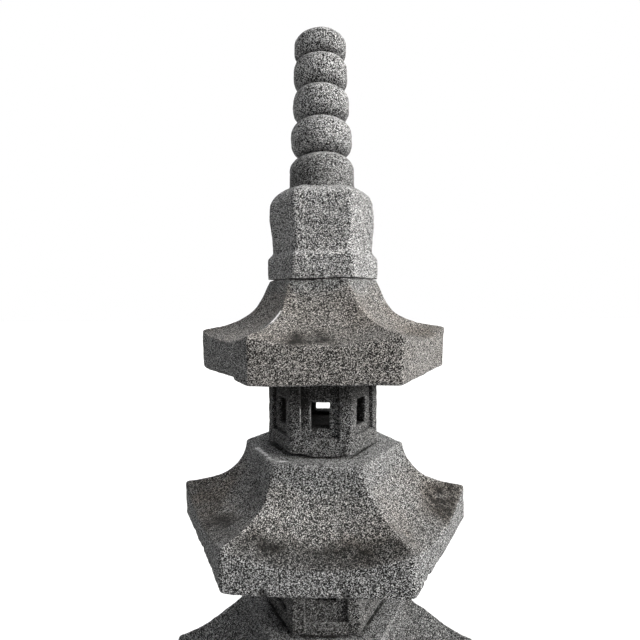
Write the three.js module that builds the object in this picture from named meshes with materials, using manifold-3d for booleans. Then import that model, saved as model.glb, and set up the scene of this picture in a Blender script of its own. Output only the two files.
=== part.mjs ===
// Six-sided pagoda garden lantern of dry-stacked carved stone.
// Millimetres, +Z up. The origin is on the ground at the centre of the base stone,
// and one flat side of every stone faces -Y.
import * as THREE from "three";
import { mergeVertices } from "three/addons/utils/BufferGeometryUtils.js";
import Module from "manifold-3d";

const wasm = await Module();
wasm.setup();

// Stacking: every stone rests on the one below with a hairline bed joint.
const BED_GAP = 0.3;
const PLINTH_TOP = 156;
const ROOF_3_BED = 347;
const ROOF_3_TOP = 516;
const ROOF_2_BED = 691;
const ROOF_2_TOP = 850;
const ROOF_1_BED = 1005.3;
const ROOF_1_TOP = 1186;

// Base stone: an upright foot, a weathered shoulder and a flat bed for the lowest chamber.
const FOOT_RADIUS = 246;
const FOOT_HEIGHT = 72;
const FOOT_ARRIS = 6;
const SHOULDER_RADIUS = 226;
const SHOULDER_RISE = 14;
const PLINTH_BED_RADIUS = 176;
const SHOULDER_BOW = 1.5;

// Roofs. Radii are to the corners. The hips run down as hollow curves that flatten into a
// straight tail, and the eave corners lift above the middle of each side by the sag.
const ROOF_3 = {
  plate: 172, eave: 318, drip: 315, drop: 90, tail: 50, hollow: 2, flat: 0.9, sag: 36,
};
const ROOF_2 = {
  plate: 163.5, eave: 291.5, drip: 290.5, drop: 90.5, tail: 20, hollow: 3.5, flat: 2, sag: 24.5,
};
const ROOF_1 = {
  plate: 110, eave: 250.5, drip: 246.5, drop: 100.5, tail: 25, hollow: 3.8, flat: 1.2, sag: 16,
};
const SAG_POWER = 2.15;
const SAG_SPREAD = 0.3;
const ROOF_AROUND = 48;
const ROOF_SLOPE_STEPS = 9;

// Light chambers: six walls with a framed panel and a window in each, open at the top.
// The sill and head of the windows are shares of the chamber's height.
const CHAMBER_3 = { radius: 136, panelFoot: 32, sill: 0.335, head: 0.67 };
const CHAMBER_2 = { radius: 126.5, panelFoot: 26, sill: 0.335, head: 0.67 };
const CHAMBER_1 = { radius: 113.2, panelFoot: 34, sill: 0.325, head: 0.66 };
const POST_SHARE = 0.185;
const PANEL_DEPTH = 8;
const PANEL_HEAD = 17;
const WINDOW_WIDTH_SHARE = 0.31;
const WALL_THICKNESS = 32;
const FLOOR_SHARE = 0.26;

// Set-down turns of single stones, degrees, anticlockwise from above.
const FINIAL_TURN = 0.3;
const ROOF_1_TURN = 0.5;
const CHAMBER_1_TURN = -2.6;
const ROOF_2_TURN = -2.9;
const CHAMBER_2_TURN = -0.5;
const ROOF_3_TURN = -1.3;

// Round locating tenons under the stones and the mortises that take them.
const TENON_RADIUS = 34;
const TENON_LENGTH = 22;
const MORTISE_CLEARANCE = 2;
const MORTISE_EXTRA_DEPTH = 5;
const ROOF_BOSS_LENGTH = 12;
const BOSS_CLEARANCE = 3;

// Finial: a six-sided cap with a domed shoulder and a waist, and a spire of five rings.
const CAP_FOOT_RADIUS = 112.5;
const CAP_WAIST_RADIUS = 102;
const CAP_SHOULDER_RADIUS = 109;
const CAP_NECK_RADIUS = 56;
const CAP_FOOT_HEIGHT = 39;
const CAP_FLARE_HEIGHT = 55;
const CAP_SHOULDER_HEIGHT = 138;
const CAP_HEIGHT = 192;
const CAP_TOP_SAG = 10;
const SPIRE_FOOT_HEIGHT = 176;
const RING_RADII = [66, 61.5, 57.2, 54.2, 52.3];
const RING_HEIGHTS = [73, 71, 63, 59.5, 52];
const RING_DOME_HEIGHTS = [30, 28, 26, 24, 26];
const RING_LOWER_ROUNDS = [9, 23, 22, 18, 15];
const GROOVE_RADIUS = 33;
const SPIRE_AROUND = 32;
const CAP_AROUND = 24;

const GREY_STONE = new THREE.Color(0x5f5d5b);
const WARM_STONE = new THREE.Color(0x635f59);
const DARK_STONE = new THREE.Color(0x4c4b4a);

const SIDES = 6;
const SIDE_ANGLE = Math.PI / 3;
const APOTHEM = Math.cos(Math.PI / 6);

// A closed drum about Z. The outline function gives the surface radius and height at a polar
// angle and at a share of the way up, so one drum makes any closed stone with flat ends.
function drum(around, along, outline) {
  const geometry = new THREE.CylinderGeometry(1, 1, 1, around, along);
  geometry.rotateX(Math.PI / 2);
  const position = geometry.attributes.position;
  for (let i = 0; i < position.count; i += 1) {
    const x = position.getX(i);
    const y = position.getY(i);
    const share = Math.hypot(x, y) < 0.5 ? 0 : 1;
    const angle = Math.atan2(y, x);
    const [radius, height] = outline(angle, position.getZ(i) + 0.5);
    position.setXYZ(
      i,
      share * radius * Math.cos(angle),
      share * radius * Math.sin(angle),
      height,
    );
  }
  return geometry;
}

// Angle from the middle of the nearest side, with a corner on +X.
function fromMidSide(angle) {
  const turn = angle / SIDE_ANGLE;
  return (turn - Math.floor(turn) - 0.5) * SIDE_ANGLE;
}

// Distance from the axis to a hexagon of the given corner radius.
function hexagon(cornerRadius, angle) {
  return (cornerRadius * APOTHEM) / Math.cos(fromMidSide(angle));
}

// -1 and 1 at the corners of a side, 0 at its middle.
function alongSide(angle) {
  return Math.tan(fromMidSide(angle)) / Math.tan(SIDE_ANGLE / 2);
}

function solid(geometry) {
  const bare = geometry.clone();
  bare.deleteAttribute("normal");
  bare.deleteAttribute("uv");
  const merged = mergeVertices(bare, 1e-4);
  return new wasm.Manifold(
    new wasm.Mesh({
      numProp: 3,
      vertProperties: new Float32Array(merged.attributes.position.array),
      triVerts: new Uint32Array(merged.index.array),
    }),
  );
}

function toGeometry(manifold) {
  const mesh = manifold.getMesh();
  const count = mesh.vertProperties.length / mesh.numProp;
  const positions = new Float32Array(count * 3);
  for (let i = 0; i < count; i += 1) {
    for (let axis = 0; axis < 3; axis += 1) {
      positions[i * 3 + axis] = mesh.vertProperties[i * mesh.numProp + axis];
    }
  }
  const geometry = new THREE.BufferGeometry();
  geometry.setAttribute("position", new THREE.BufferAttribute(positions, 3));
  geometry.setIndex(new THREE.BufferAttribute(new Uint32Array(mesh.triVerts), 1));
  geometry.computeVertexNormals();
  return geometry;
}

function roundBar(radius, low, high) {
  const bar = new THREE.CylinderGeometry(radius, radius, high - low, 36);
  bar.rotateX(Math.PI / 2);
  bar.translate(0, 0, (low + high) / 2);
  return solid(bar);
}

function mortise(topHeight) {
  const depth = TENON_LENGTH + MORTISE_EXTRA_DEPTH;
  return roundBar(TENON_RADIUS + MORTISE_CLEARANCE, topHeight - depth, topHeight + 1);
}

function tenon() {
  return roundBar(TENON_RADIUS, -TENON_LENGTH, 1);
}

function stone(name, manifold, color, bed, turnDegrees = 0) {
  const material = new THREE.MeshStandardMaterial({ color, roughness: 0.95, metalness: 0 });
  const mesh = new THREE.Mesh(toGeometry(manifold), material);
  mesh.name = name;
  mesh.position.z = bed;
  mesh.rotation.z = THREE.MathUtils.degToRad(turnDegrees);
  return mesh;
}

// Base stone: foot, rounded arris, hollow shoulder up to the bed.
function plinth() {
  const steps = 8;
  const rows = steps + 2;
  const body = drum(SIDES * 2, rows, (angle, share) => {
    const row = Math.round(share * rows);
    if (row === 0) {
      return [hexagon(FOOT_RADIUS, angle), 0];
    }
    if (row === 1) {
      return [hexagon(FOOT_RADIUS, angle), FOOT_HEIGHT - FOOT_ARRIS];
    }
    if (row === 2) {
      return [hexagon(FOOT_RADIUS - FOOT_ARRIS, angle), FOOT_HEIGHT];
    }
    if (row === 3) {
      return [hexagon(SHOULDER_RADIUS, angle), FOOT_HEIGHT + SHOULDER_RISE / 2];
    }
    const quarter = (((row - 3) / (rows - 3)) * Math.PI) / 2;
    const inward = Math.pow(Math.sin(quarter), 2 / SHOULDER_BOW);
    const down = Math.pow(Math.cos(quarter), 2 / SHOULDER_BOW);
    const radius = SHOULDER_RADIUS - (SHOULDER_RADIUS - PLINTH_BED_RADIUS) * inward;
    const low = FOOT_HEIGHT + SHOULDER_RISE / 2;
    return [hexagon(radius, angle), PLINTH_TOP - (PLINTH_TOP - low) * down];
  });
  return solid(body).subtract(mortise(PLINTH_TOP));
}

// Roof: flat bed, upright eave band, concave slopes between six hips, flat plate on top.
function roof(shape, height, chamberBelow) {
  const rows = ROOF_SLOPE_STEPS + 1;
  const body = drum(ROOF_AROUND, rows, (angle, share) => {
    const row = Math.round(share * rows);
    if (row === 0) {
      return [hexagon(shape.drip, angle), 0];
    }
    const quarter = (((row - 1) / ROOF_SLOPE_STEPS) * Math.PI) / 2;
    const outward = 1 - Math.pow(Math.sin(quarter), 2 / shape.hollow);
    const down = Math.pow(Math.cos(quarter), 2 / shape.flat);
    const radius = shape.plate + (shape.eave - shape.plate) * outward;
    const crown = 1 - Math.pow(Math.abs(alongSide(angle)), SAG_POWER);
    const sag = shape.sag * Math.pow(outward, SAG_SPREAD) * crown;
    const drop = (shape.drop - shape.tail) * down + shape.tail * outward;
    return [hexagon(radius, angle), height - drop - sag];
  });
  const bossRadius = hollowRadius(chamberBelow.radius) - BOSS_CLEARANCE;
  const boss = roundBar(bossRadius, -ROOF_BOSS_LENGTH, 1);
  return solid(body).add(boss).subtract(mortise(height));
}

function hollowRadius(radius) {
  return radius * APOTHEM - PANEL_DEPTH - WALL_THICKNESS + 4;
}

// A block on one side of a chamber, from the given distance outwards.
function sideBlock(side, width, low, high, near, far) {
  const block = new THREE.BoxGeometry(far - near, width, high - low);
  block.translate((near + far) / 2, 0, (low + high) / 2);
  block.rotateZ(SIDE_ANGLE * (side + 0.5));
  return solid(block);
}

// Light chamber: hexagonal wall, round hollow, six sunk panels, six windows, tenon below.
function chamber({ radius, panelFoot, sill, head }, height) {
  const body = drum(SIDES * 2, 1, (angle, share) => [hexagon(radius, angle), share * height]);
  const face = radius * APOTHEM;
  const postWidth = radius * POST_SHARE;
  const floor = height * FLOOR_SHARE;
  let result = solid(body).subtract(roundBar(hollowRadius(radius), floor, height + 1));
  for (let side = 0; side < SIDES; side += 1) {
    const panel = sideBlock(
      side,
      radius - postWidth * 2,
      panelFoot,
      height - PANEL_HEAD,
      face - PANEL_DEPTH,
      face + 5,
    );
    const opening = sideBlock(
      side,
      radius * WINDOW_WIDTH_SHARE,
      height * sill,
      height * head,
      hollowRadius(radius) / 2,
      face + 5,
    );
    result = result.subtract(panel).subtract(opening);
  }
  return result.add(tenon());
}

function smooth(share) {
  return share * share * (3 - 2 * share);
}

// Six-sided cap: upright foot, hollow flare, waist, and a dome whose top dips at front and back.
function capOutline(angle, share) {
  const height = share * CAP_HEIGHT;
  if (height <= CAP_FOOT_HEIGHT) {
    return [hexagon(CAP_FOOT_RADIUS, angle), height];
  }
  if (height <= CAP_FLARE_HEIGHT) {
    const up = (height - CAP_FOOT_HEIGHT) / (CAP_FLARE_HEIGHT - CAP_FOOT_HEIGHT);
    const radius = CAP_FOOT_RADIUS + (CAP_WAIST_RADIUS - CAP_FOOT_RADIUS) * smooth(up);
    return [hexagon(radius, angle), height];
  }
  if (height <= CAP_SHOULDER_HEIGHT) {
    const up = (height - CAP_FLARE_HEIGHT) / (CAP_SHOULDER_HEIGHT - CAP_FLARE_HEIGHT);
    const radius = CAP_WAIST_RADIUS + (CAP_SHOULDER_RADIUS - CAP_WAIST_RADIUS) * smooth(up);
    return [hexagon(radius, angle), height];
  }
  const up = (height - CAP_SHOULDER_HEIGHT) / (CAP_HEIGHT - CAP_SHOULDER_HEIGHT);
  const radius = CAP_NECK_RADIUS + (CAP_SHOULDER_RADIUS - CAP_NECK_RADIUS) * (1 - up ** 4);
  return [hexagon(radius, angle), height - CAP_TOP_SAG * smooth(up) * Math.sin(angle) ** 2];
}

// Spire profile: each ring is rounded below, upright at its girth and domed above.
function spire() {
  const profile = [new THREE.Vector2(0, SPIRE_FOOT_HEIGHT)];
  let low = SPIRE_FOOT_HEIGHT;
  RING_RADII.forEach((full, index) => {
    const high = low + RING_HEIGHTS[index];
    const inner = index === 0 ? full - 3 : GROOVE_RADIUS;
    const dome = RING_DOME_HEIGHTS[index];
    const rounding = RING_LOWER_ROUNDS[index];
    for (let step = 0; step <= 4; step += 1) {
      const turn = ((step / 4) * Math.PI) / 2;
      const radius = inner + (full - inner) * Math.sin(turn);
      profile.push(new THREE.Vector2(radius, low + rounding * (1 - Math.cos(turn))));
    }
    const isTop = index === RING_RADII.length - 1;
    const crest = isTop ? 0 : GROOVE_RADIUS;
    for (let step = 0; step < 5; step += 1) {
      const turn = ((step / 5) * Math.PI) / 2;
      const radius = crest + (full - crest) * Math.cos(turn);
      profile.push(new THREE.Vector2(radius, high - dome * (1 - Math.sin(turn))));
    }
    low = high;
  });
  profile.push(new THREE.Vector2(0, low));
  const body = new THREE.LatheGeometry(profile, SPIRE_AROUND);
  body.rotateX(Math.PI / 2);
  return solid(body);
}

function finial() {
  const cap = drum(CAP_AROUND, 16, capOutline);
  return solid(cap).add(spire()).add(tenon());
}

const roof3Height = ROOF_3_TOP - ROOF_3_BED;
const roof2Height = ROOF_2_TOP - ROOF_2_BED;
const roof1Height = ROOF_1_TOP - ROOF_1_BED;
const chamber3Bed = PLINTH_TOP + BED_GAP;
const chamber2Bed = ROOF_3_TOP + BED_GAP;
const chamber1Bed = ROOF_2_TOP + BED_GAP;
const chamber3Height = ROOF_3_BED - BED_GAP - chamber3Bed;
const chamber2Height = ROOF_2_BED - BED_GAP - chamber2Bed;
const chamber1Height = ROOF_1_BED - BED_GAP - chamber1Bed;

const lantern = new THREE.Group();
lantern.name = "stone_lantern";
lantern.add(stone("base_stone", plinth(), GREY_STONE, 0));
lantern.add(
  stone("chamber_3", chamber(CHAMBER_3, chamber3Height), DARK_STONE, chamber3Bed),
);
lantern.add(
  stone("roof_3", roof(ROOF_3, roof3Height, CHAMBER_3), GREY_STONE, ROOF_3_BED, ROOF_3_TURN),
);
lantern.add(
  stone(
    "chamber_2",
    chamber(CHAMBER_2, chamber2Height),
    DARK_STONE,
    chamber2Bed,
    CHAMBER_2_TURN,
  ),
);
lantern.add(
  stone(
    "roof_2",
    roof(ROOF_2, roof2Height, CHAMBER_2),
    WARM_STONE,
    ROOF_2_BED,
    ROOF_2_TURN,
  ),
);
lantern.add(
  stone(
    "chamber_1",
    chamber(CHAMBER_1, chamber1Height),
    DARK_STONE,
    chamber1Bed,
    CHAMBER_1_TURN,
  ),
);
lantern.add(
  stone(
    "roof_1",
    roof(ROOF_1, roof1Height, CHAMBER_1),
    WARM_STONE,
    ROOF_1_BED,
    ROOF_1_TURN,
  ),
);
lantern.add(stone("finial", finial(), GREY_STONE, ROOF_1_TOP + BED_GAP, FINIAL_TURN));

export default lantern;
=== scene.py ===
import math

import bpy
import numpy as np
from mathutils import Euler, Matrix


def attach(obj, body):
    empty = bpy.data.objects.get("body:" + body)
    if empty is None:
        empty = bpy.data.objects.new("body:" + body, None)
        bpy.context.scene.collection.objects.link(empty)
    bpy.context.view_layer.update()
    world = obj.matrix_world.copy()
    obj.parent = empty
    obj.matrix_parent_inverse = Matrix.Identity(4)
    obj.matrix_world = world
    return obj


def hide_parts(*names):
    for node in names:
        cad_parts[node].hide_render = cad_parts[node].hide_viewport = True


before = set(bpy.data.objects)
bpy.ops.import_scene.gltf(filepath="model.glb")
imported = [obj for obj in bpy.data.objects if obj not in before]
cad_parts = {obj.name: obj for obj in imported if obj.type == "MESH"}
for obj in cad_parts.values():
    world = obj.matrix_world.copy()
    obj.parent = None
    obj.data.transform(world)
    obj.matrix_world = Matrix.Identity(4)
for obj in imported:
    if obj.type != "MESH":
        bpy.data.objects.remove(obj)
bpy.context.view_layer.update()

# ---- Sizes in millimetres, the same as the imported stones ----
BED_GAP = 0.3
PLINTH_TOP = 156
ROOF_3_BED, ROOF_3_TOP = 347, 516
ROOF_2_BED, ROOF_2_TOP = 691, 850
ROOF_1_BED, ROOF_1_TOP = 1005.3, 1186
POST_SHARE, PANEL_DEPTH, PANEL_HEAD = 0.185, 8, 17
WINDOW_WIDTH_SHARE = 0.31
WALL_THICKNESS, FLOOR_SHARE, CHAMBER_WANDER = 32, 0.26, 0.9
SAG_POWER, SAG_SPREAD = 2.15, 0.3
TENON_RADIUS, TENON_LENGTH = 34, 22
MORTISE_RADIUS, MORTISE_DEPTH = 36, 27
ROOF_BOSS_LENGTH, BOSS_CLEARANCE = 12, 3
SIDES = 6
SIDE = math.pi / 3
APOTHEM = math.cos(math.pi / 6)
TAN30 = math.tan(math.pi / 6)
FRONT_LEFT, FRONT, FRONT_RIGHT, BACK_RIGHT, BACK, BACK_LEFT = range(-3, 3)
MM = 0.001
COARSE = 1.0


# ---- Fields ----
# A field is negative inside the stone and close to a distance in mm.
def soft_max(a, b, k):
    """The larger value, rounded where the two come within k mm. It cuts with a rounded edge."""
    h = np.maximum(k - np.abs(a - b), 0) / k
    return np.maximum(a, b) + h * h * k * 0.25


def soft_min(a, b, k):
    """The smaller value, rounded the same way. It joins with a fillet."""
    return -soft_max(-a, -b, k)


def ramp(value, low, high):
    """Rises smoothly from 0 at low to 1 at high."""
    t = np.clip((value - low) / (high - low), 0, 1)
    return t * t * (3 - 2 * t)


def lattice(i, j, k, seed):
    """A fixed scrambled value from -1 to 1 for each whole-number point."""
    h = (
        i.astype(np.uint32) * np.uint32(374761393)
        + j.astype(np.uint32) * np.uint32(668265263)
        + k.astype(np.uint32) * np.uint32(2246822519)
        + np.uint32(seed * 97531 + 12345)
    )
    h = (h ^ (h >> np.uint32(13))) * np.uint32(1274126177)
    h = (h ^ (h >> np.uint32(15))) * np.uint32(2654435761)
    return ((h ^ (h >> np.uint32(16))) & np.uint32(0xFFFFFF)).astype(np.float32) / 0x7FFFFF - 1


def noise(x, y, z, size, seed):
    """Smooth noise from -1 to 1 with features of about that size in mm."""
    out = 0
    q = [c / size + 512 for c in (x, y, z)]
    i = [np.floor(c).astype(np.int64) for c in q]
    f = [(c - n).astype(np.float32) for c, n in zip(q, i)]
    f = [t * t * t * (t * (t * 6 - 15) + 10) for t in f]
    for a in (0, 1):
        wa = f[0] if a else 1 - f[0]
        for b in (0, 1):
            wb = f[1] if b else 1 - f[1]
            for c in (0, 1):
                wc = f[2] if c else 1 - f[2]
                out = out + wa * wb * wc * lattice(i[0] + a, i[1] + b, i[2] + c, seed)
    return out


def layered(x, y, z, size, seed, layers=3):
    """Noise with finer and weaker layers added."""
    total, weight, norm = 0, 1.0, 0
    for n in range(layers):
        total = total + weight * noise(x, y, z, size / 2**n, seed + 17 * n)
        norm += weight
        weight *= 0.55
    return total / norm


def fold(x, y):
    """Distance out from the axis towards the middle of the nearest side, and along that side."""
    angle = np.arctan2(y, x)
    side = np.floor(angle / SIDE)
    middle = (side + 0.5) * SIDE
    c, s = np.cos(middle), np.sin(middle)
    return x * c + y * s, y * c - x * s, side


def hexed(out, along, k):
    """Distance from the axis in the hexagon's own measure, with corners rounded by about k mm."""
    return soft_max(out, 0.5 * out + APOTHEM * np.abs(along), k)


class Profile:
    """Signed distance to a closed outline in the plane of distance out and height."""

    def __init__(self, points, margin=60, step=1.0):
        pts = np.array(points, np.float64)
        self.step = step
        self.low = pts.min(0) - margin
        count = np.ceil((pts.max(0) + margin - self.low) / step).astype(int) + 2
        d = self.low[0] + step * np.arange(count[0])[:, None]
        z = self.low[1] + step * np.arange(count[1])[None, :]
        best = np.full(count, 1e9)
        odd = np.zeros(count, bool)
        for (x0, y0), (x1, y1) in zip(pts, np.roll(pts, -1, 0)):
            ex, ey = x1 - x0, y1 - y0
            length = max(ex * ex + ey * ey, 1e-9)
            t = np.clip(((d - x0) * ex + (z - y0) * ey) / length, 0, 1)
            best = np.minimum(best, (d - x0 - t * ex) ** 2 + (z - y0 - t * ey) ** 2)
            if ey != 0:
                odd ^= ((y0 > z) != (y1 > z)) & (d < x0 + (z - y0) * ex / ey)
        self.grid = (np.sqrt(best) * np.where(odd, -1, 1)).astype(np.float32)

    def __call__(self, d, z):
        u = np.clip((d - self.low[0]) / self.step, 0, self.grid.shape[0] - 1.001)
        v = np.clip((z - self.low[1]) / self.step, 0, self.grid.shape[1] - 1.001)
        i, j = u.astype(np.int32), v.astype(np.int32)
        fu, fv = u - i, v - j
        g = self.grid
        low = g[i, j] * (1 - fu) + g[i + 1, j] * fu
        return low * (1 - fv) + (g[i, j + 1] * (1 - fu) + g[i + 1, j + 1] * fu) * fv


def fillet(before, corner, after, cut):
    """Points that round a corner, starting and ending cut mm away from it."""
    b, c, a = (np.array(p, float) for p in (before, corner, after))
    start = c + (b - c) / np.linalg.norm(b - c) * min(cut, np.linalg.norm(b - c) * 0.5)
    end = c + (a - c) / np.linalg.norm(a - c) * min(cut, np.linalg.norm(a - c) * 0.5)
    return [tuple((1 - t) ** 2 * start + 2 * t * (1 - t) * c + t * t * end) for t in np.linspace(0, 1, 6)]


def mirrored(points):
    """The outline closed on the far side of the axis, so that the axis is no edge."""
    return [*points, *[(-d, z) for d, z in reversed(points)]]


# ---- Meshes from fields: one point in each crossed cell, then a walk onto the surface ----
def surface_net(field, low, high, step):
    """Points and four-sided faces of the surface where the field crosses 0."""
    axes = [np.arange(a - 2.3 * step, b + 3.1 * step, step, dtype=np.float32) for a, b in zip(low, high)]
    shape = [len(a) for a in axes]
    value = np.empty(shape, np.float32)
    for start in range(0, shape[0], 24):
        rows = slice(start, start + 24)
        x, y, z = np.meshgrid(axes[0][rows], axes[1], axes[2], indexing="ij")
        value[rows] = field(x.ravel(), y.ravel(), z.ravel(), False).reshape(x.shape)
    inside = value < 0
    corners = [(a, b, c) for a in (0, 1) for b in (0, 1) for c in (0, 1)]

    def part(grid, offset):
        return grid[tuple(slice(o, n - 1 + o) for o, n in zip(offset, shape))]

    count = sum(part(inside, o).astype(np.uint8) for o in corners)
    cells = np.argwhere((count > 0) & (count < 8))
    index = np.full([n - 1 for n in shape], -1, np.int64)
    index[tuple(cells.T)] = np.arange(len(cells))
    place = np.zeros((len(cells), 3), np.float32)
    hits = np.zeros(len(cells), np.float32)
    for o in corners:
        for axis in range(3):
            if o[axis]:
                continue
            far = tuple(v + (1 if n == axis else 0) for n, v in enumerate(o))
            a = value[tuple((cells + o).T)]
            b = value[tuple((cells + far).T)]
            crossing = (a < 0) != (b < 0)
            t = np.where(crossing, a / np.where(crossing, a - b, 1), 0)
            point = np.tile(np.array(o, np.float32), (len(cells), 1))
            point[:, axis] += t
            place += point * crossing[:, None]
            hits += crossing
    place = (cells + place / hits[:, None]) * step + np.array([a[0] for a in axes])
    quads = []
    for axis in range(3):
        u, v = (axis + 1) % 3, (axis + 2) % 3
        near = [slice(1, n - 1) for n in shape]
        near[axis] = slice(0, shape[axis] - 1)
        far = list(near)
        far[axis] = slice(1, shape[axis])
        a, b = inside[tuple(near)], inside[tuple(far)]
        for wanted, flip in ((a & ~b, False), (~a & b, True)):
            at = np.argwhere(wanted)
            at[:, u] += 1
            at[:, v] += 1
            ring = []
            for du, dv in ((-1, -1), (0, -1), (0, 0), (-1, 0)):
                cell = at.copy()
                cell[:, u] += du
                cell[:, v] += dv
                ring.append(index[tuple(cell.T)])
            quads.append(np.stack(ring[::-1] if flip else ring, 1))
    return place.astype(np.float64), np.concatenate(quads)


def slope_of(field, p, h=0.6):
    """The field's gradient at the points, which points out of the stone."""
    g = np.empty_like(p)
    for axis in range(3):
        shift = np.zeros(3)
        shift[axis] = h
        a, b = p + shift, p - shift
        g[:, axis] = (field(*a.T, True) - field(*b.T, True)) / (2 * h)
    return g


def settle(field, p, reach, rounds=3):
    """Moves the points onto the surface."""
    for _ in range(rounds):
        g = slope_of(field, p)
        f = field(*p.T, True)
        step = f / np.maximum((g * g).sum(1), 0.25)
        p = p - np.clip(step, -reach, reach)[:, None] * g
    return p


def bend(field, p, h):
    """How far the surface turns away within h mm: positive on arrises, negative in hollows."""
    total = 0
    for axis in range(3):
        for sign in (-h, h):
            shift = np.zeros(3)
            shift[axis] = sign
            q = p + shift
            total = total + field(*q.T, True)
    return total / 6 - field(*p.T, True)


def turned(p, degrees):
    """The points turned anticlockwise about the lantern's axis."""
    a = math.radians(degrees)
    c, s = math.cos(a), math.sin(a)
    return np.stack([p[:, 0] * c - p[:, 1] * s, p[:, 0] * s + p[:, 1] * c, p[:, 2]], 1)


def carve(name, field, low, high, step, bed, turn, rough, seed, paint):
    """Makes one stone and puts its arris wear, hollows, stains, painted shade and painted highlights in point
    attributes.
    """
    step = step * COARSE
    p, quads = surface_net(field, low, high, step)
    p = settle(field, p, step)
    g = slope_of(field, p, 1.5)
    normal = g / np.maximum(np.linalg.norm(g, axis=1), 1e-6)[:, None]
    x, y, z = p.T
    relief = (
        0.55 * layered(x, y, z, 34, seed, 2)
        + 0.4 * noise(x, y, z, 8.5, seed + 5)
        + 0.22 * noise(x, y, z, 3.6, seed + 6)
    )
    bearing = (np.abs(normal[:, 2]) > 0.9) & (z < 1.5)
    p = p + normal * (rough * relief * np.where(bearing, 0.25, 1))[:, None]
    wear = np.clip(bend(field, p, 5) / 1.6, -1, 1)
    dirt_and_shade, brown, light = paint(x, y, z, normal, wear)
    p = turned(p, turn)
    p[:, 2] += bed
    mesh = bpy.data.meshes.new(name)
    mesh.vertices.add(len(p))
    mesh.vertices.foreach_set("co", (p * MM).astype(np.float32).ravel())
    mesh.loops.add(quads.size)
    mesh.loops.foreach_set("vertex_index", quads.astype(np.int32).ravel())
    mesh.polygons.add(len(quads))
    mesh.polygons.foreach_set("loop_start", (np.arange(len(quads)) * 4).astype(np.int32))
    mesh.polygons.foreach_set("loop_total", np.full(len(quads), 4, np.int32))
    mesh.polygons.foreach_set("use_smooth", np.ones(len(quads), bool))
    mesh.update(calc_edges=True)
    for key, values in (("wear", wear), ("dirt_and_shade", dirt_and_shade), ("brown", brown), ("light", light)):
        layer = mesh.attributes.new(key, "FLOAT", "POINT")
        layer.data.foreach_set("value", np.broadcast_to(values, len(p)).astype(np.float32))
    piece = bpy.data.objects.new(name, mesh)
    bpy.context.scene.collection.objects.link(piece)
    return piece


# ---- Hand-cut irregularity ----
def wander(x, y, z, amount, phase):
    """A slow drift of every plane and arris, as of a stone cut by eye."""
    a = amount * (np.sin(y / 61 + phase) + 0.6 * np.sin(z / 23 + x / 41 + 2.1 * phase)) / 1.6
    b = amount * (np.sin(x / 57 + 1.3 * phase) + 0.6 * np.sin(z / 27 - y / 37 + phase)) / 1.6
    c = amount * (np.sin(x / 49 + 0.7 * phase) + 0.6 * np.sin(y / 33 + 1.9 * phase)) / 1.6
    return a, b, c


def pushed(x, y, z, pushes):
    """Moves the parts of a stone near each centre by its own small shift."""
    for (cx, cy, cz), reach, (dx, dy, dz) in pushes:
        w = np.exp(-((x - cx) ** 2 + (y - cy) ** 2 + (z - cz) ** 2) / (reach * reach))
        x, y, z = x - dx * w, y - dy * w, z - dz * w
    return x, y, z


def corner(index, radius, z=0):
    """A point at one of the six corners, counted anticlockwise from +X."""
    return (radius * math.cos(index * SIDE), radius * math.sin(index * SIDE), z)


def along_side(index, radius, share, z=0):
    """A point on the edge from corner index to the next one, share of the way along."""
    a, b = corner(index, radius, z), corner(index + 1, radius, z)
    return tuple(p + (q - p) * share for p, q in zip(a, b))


def chipped(f, x, y, z, chips, seed):
    """The field with a rough round bite taken out at each chip."""
    for (cx, cy, cz), radius in chips:
        reach = radius * 1.8
        near = (np.abs(x - cx) < reach) & (np.abs(y - cy) < reach) & (np.abs(z - cz) < reach)
        if not near.any():
            continue
        px, py, pz = x[near] - cx, y[near] - cy, z[near] - cz
        wobble = 0.28 * radius * noise(px, py, pz, radius * 0.7, seed)
        bite = radius + wobble - np.sqrt(px * px + py * py + pz * pz)
        f[near] = soft_max(f[near], bite, 1.5)
    return f


def edge_chips(rng, count, radius, z, size):
    """Small random bites out of the six edges at a height."""
    chips = []
    for _ in range(count):
        side = rng.choice(SIDES)
        share = rng.uniform(0.04, 0.96)
        r = rng.uniform(*size)
        out = radius + r * rng.uniform(0.35, 0.62)
        chips.append((along_side(side, out, share, z + rng.uniform(-1.5, 1.5)), r))
    return chips


# ---- Stones ----
def hollow_radius(radius):
    """Radius of the round hollow in a chamber of that corner radius."""
    return radius * APOTHEM - PANEL_DEPTH - WALL_THICKNESS + 4


def tenon_field(x, y, z):
    """The round peg under a stone."""
    r = np.sqrt(x * x + y * y)
    return np.maximum(soft_max(r - TENON_RADIUS, -TENON_LENGTH - z, 4), z - 6)


def mortise_field(x, y, z, top):
    """Negative in the round hole that a tenon sits in, sunk from the top."""
    r = np.sqrt(x * x + y * y)
    return soft_max(r - MORTISE_RADIUS, top - MORTISE_DEPTH - z, 3)


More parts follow.
